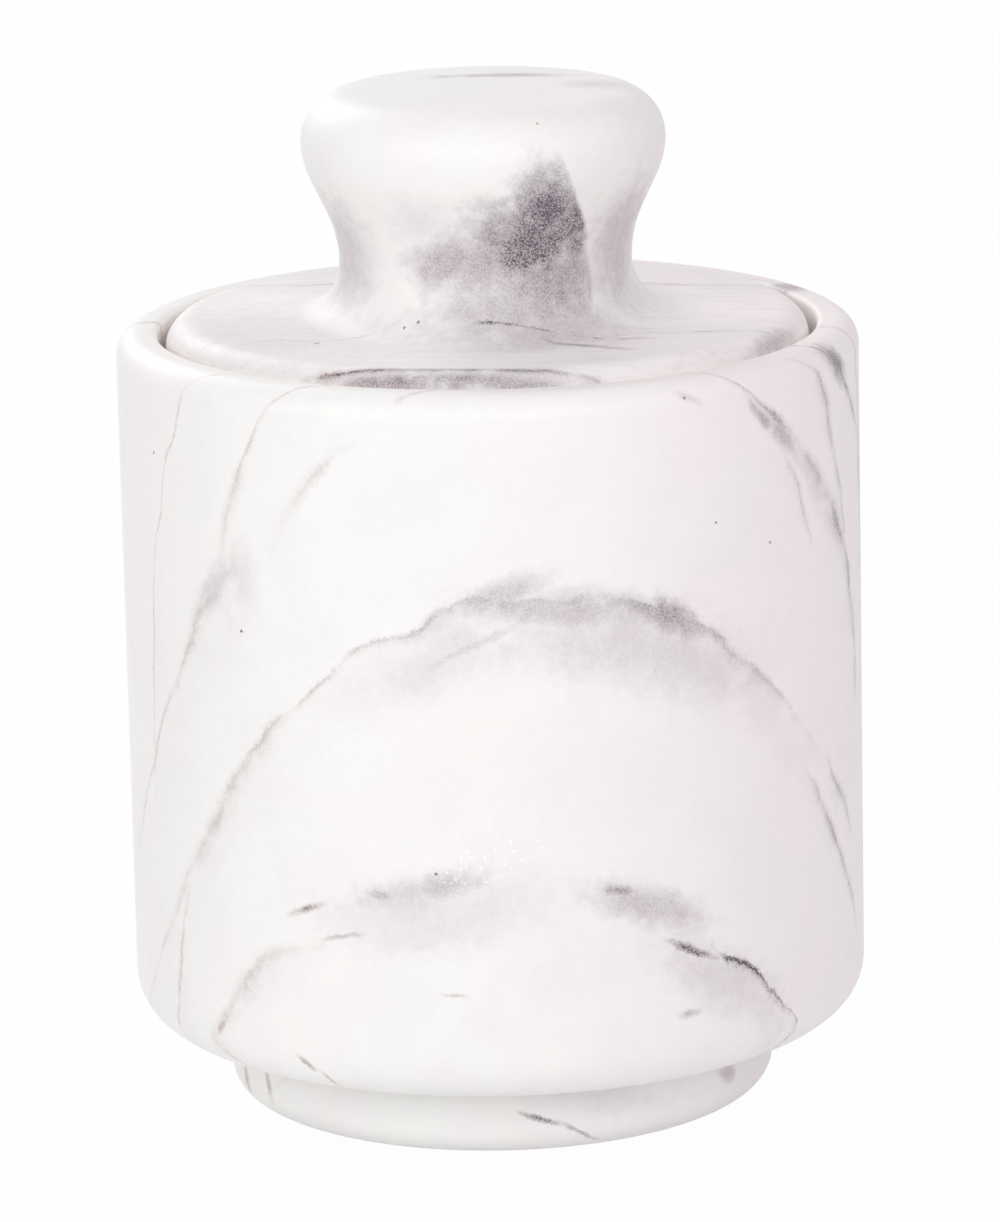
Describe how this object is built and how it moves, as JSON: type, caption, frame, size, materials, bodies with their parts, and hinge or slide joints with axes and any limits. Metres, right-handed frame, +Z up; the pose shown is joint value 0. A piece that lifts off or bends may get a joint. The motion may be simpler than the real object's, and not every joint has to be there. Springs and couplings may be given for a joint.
{
  "type": "salt cellar",
  "caption": "Small round lidded jar for salt in white marble with grey veins, on a stepped-in foot, with a sunken lid and a waisted knob.",
  "frame": {"origin": "centre of the plane that the pads under the foot stand on", "axes": "+Z up along the axis of the jar and the lid, -Y towards the side that the picture shows, +X to the right there"},
  "size_m": [0.09, 0.09, 0.1255],
  "materials": {
    "jar_marble": "satin polished white marble with soft grey veins",
    "lid_marble": "satin polished white marble with soft grey veins",
    "pad": "matt, slightly see-through"
  },
  "bodies": {
    "jar": {"jar": "jar_marble", "pad_front_left": "pad", "pad_front_right": "pad", "pad_rear_left": "pad", "pad_rear_right": "pad"},
    "lid": {"lid": "lid_marble"}
  },
  "joints": [
    {"name": "lid_lift", "type": "slide", "parent": "jar", "child": "lid", "axis": [0, 0, 1], "range_m": [0, 0.06]}
  ]
}
